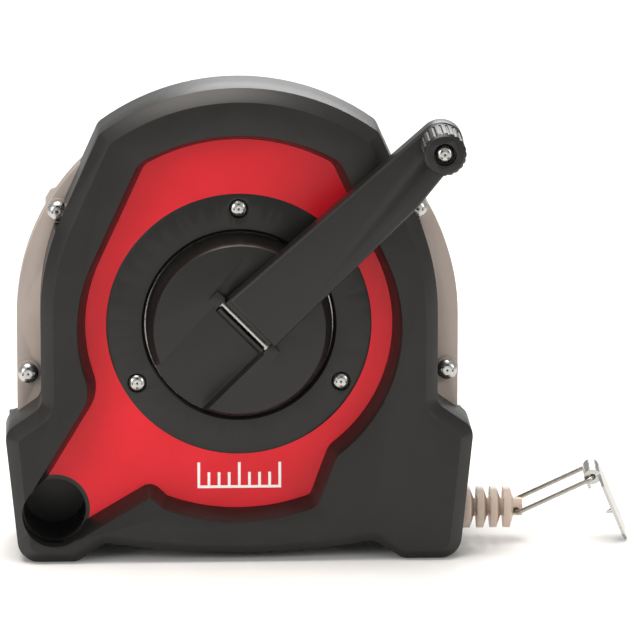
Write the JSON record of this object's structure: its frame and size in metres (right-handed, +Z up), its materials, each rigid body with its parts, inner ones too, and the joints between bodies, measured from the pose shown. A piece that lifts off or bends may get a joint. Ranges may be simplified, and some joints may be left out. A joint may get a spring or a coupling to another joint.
{
  "type": "chalk line reel",
  "caption": "Hand reel for a chalk line: round case on two broad feet, folding crank with a geared spool, chalk fill door and a hook on the line's end.",
  "frame": {"origin": "on the ground plane of the feet, straight below the hub axis, in the plane where the two case halves meet", "axes": "+X right, towards the side where the line comes out; +Y to the back, along the hub axis; +Z up, from the feet to the cap"},
  "size_m": [0.1859, 0.0756, 0.142],
  "materials": {
    "bumper_black": "moulded thermoplastic rubber, satin black",
    "panel_red": "moulded ABS, satin red",
    "shell_silver": "moulded ABS with a champagne silver paint",
    "cover_black": "moulded glass filled nylon, satin black",
    "zinc_steel": "bright zinc plated steel",
    "gear_acetal": "moulded acetal, natural white",
    "line_cord": "twisted cotton and polyester line, dusted with chalk",
    "felt": "pressed wool felt",
    "seal_rubber": "moulded nitrile rubber",
    "boot_vinyl": "soft clear vinyl, slightly pink",
    "spring_wire": "spring steel wire, nickel plated"
  },
  "bodies": {
    "case": {"front_bumper": "bumper_black", "front_panel": "panel_red", "front_shell": "shell_silver", "rear_shell": "shell_silver", "rear_bumper": "bumper_black", "rear_panel": "panel_red", "hub_cover": "cover_black", "hub_cover_screws": "zinc_steel", "case_screws": "zinc_steel", "knob_well": "cover_black", "ring_gear": "gear_acetal", "sun_bush": "gear_acetal", "spool_axle": "zinc_steel", "thrust_washer": "zinc_steel", "exit_eyelet": "gear_acetal", "exit_wiper": "felt", "door_hinge_pin": "zinc_steel", "door_seal": "seal_rubber"},
    "crank": {"crank_disc": "cover_black", "carrier_plate": "zinc_steel", "planet_pins": "zinc_steel", "crank_hinge_pin": "zinc_steel"},
    "arm": {"crank_arm": "cover_black", "knob_screw": "zinc_steel"},
    "knob": {"crank_knob": "cover_black"},
    "planet_1": {"planet_gear_1": "gear_acetal"},
    "planet_2": {"planet_gear_2": "gear_acetal"},
    "planet_3": {"planet_gear_3": "gear_acetal"},
    "spool": {"spool_hub": "cover_black", "spool_rear_flange": "cover_black", "line_winding": "line_cord", "sun_gear": "gear_acetal"},
    "line_end": {"line_boot": "boot_vinyl", "line_lead": "line_cord"},
    "loop": {"wire_loop": "spring_wire"},
    "hook": {"end_hook": "zinc_steel"},
    "door": {"fill_door": "cover_black"}
  },
  "joints": [
    {"name": "crank_spin", "type": "hinge", "parent": "case", "child": "crank", "pos_m": [0, 0, 0.0704], "axis": [0, -1, 0], "range_deg": [0, 12710]},
    {"name": "crank_fold", "type": "hinge", "parent": "crank", "child": "arm", "pos_m": [0.0013, -0.0255, 0.072], "axis": [-0.7022, 0, 0.712], "range_deg": [-180, 0]},
    {"name": "knob_spin", "type": "hinge", "parent": "arm", "child": "knob", "pos_m": [0.0587, 0, 0.12686], "axis": [0, -1, 0], "continuous": true},
    {"name": "planet_spin_1", "type": "hinge", "parent": "crank", "child": "planet_1", "pos_m": [0, 0, 0.0848], "axis": [0, -1, 0], "continuous": true},
    {"name": "planet_spin_2", "type": "hinge", "parent": "crank", "child": "planet_2", "pos_m": [-0.01247, 0, 0.0632], "axis": [0, -1, 0], "continuous": true},
    {"name": "planet_spin_3", "type": "hinge", "parent": "crank", "child": "planet_3", "pos_m": [0.01247, 0, 0.0632], "axis": [0, -1, 0], "continuous": true},
    {"name": "spool_spin", "type": "hinge", "parent": "case", "child": "spool", "pos_m": [0, 0, 0.0704], "axis": [0, -1, 0], "continuous": true},
    {"name": "line_pull", "type": "slide", "parent": "case", "child": "line_end", "axis": [1, 0, 0], "range_m": [0, 0.036]},
    {"name": "loop_tilt", "type": "hinge", "parent": "line_end", "child": "loop", "pos_m": [0.0833, 0, 0.0103], "axis": [0, -0.9703, -0.2419], "range_deg": [-90, 75]},
    {"name": "hook_swing", "type": "hinge", "parent": "loop", "child": "hook", "pos_m": [0.10584, -0.00278, 0.02144], "axis": [0, -0.9703, -0.2419], "range_deg": [-60, 180]},
    {"name": "door_open", "type": "hinge", "parent": "case", "child": "door", "pos_m": [-0.02, 0.013, 0.12324], "axis": [0, -1, 0], "range_deg": [0, 88]}
  ],
  "couplings": [
    {"joint": "planet_spin_1", "follows": "crank_spin", "ratio": -2.5},
    {"joint": "planet_spin_2", "follows": "crank_spin", "ratio": -2.5},
    {"joint": "planet_spin_3", "follows": "crank_spin", "ratio": -2.5},
    {"joint": "spool_spin", "follows": "crank_spin", "ratio": 6}
  ]
}
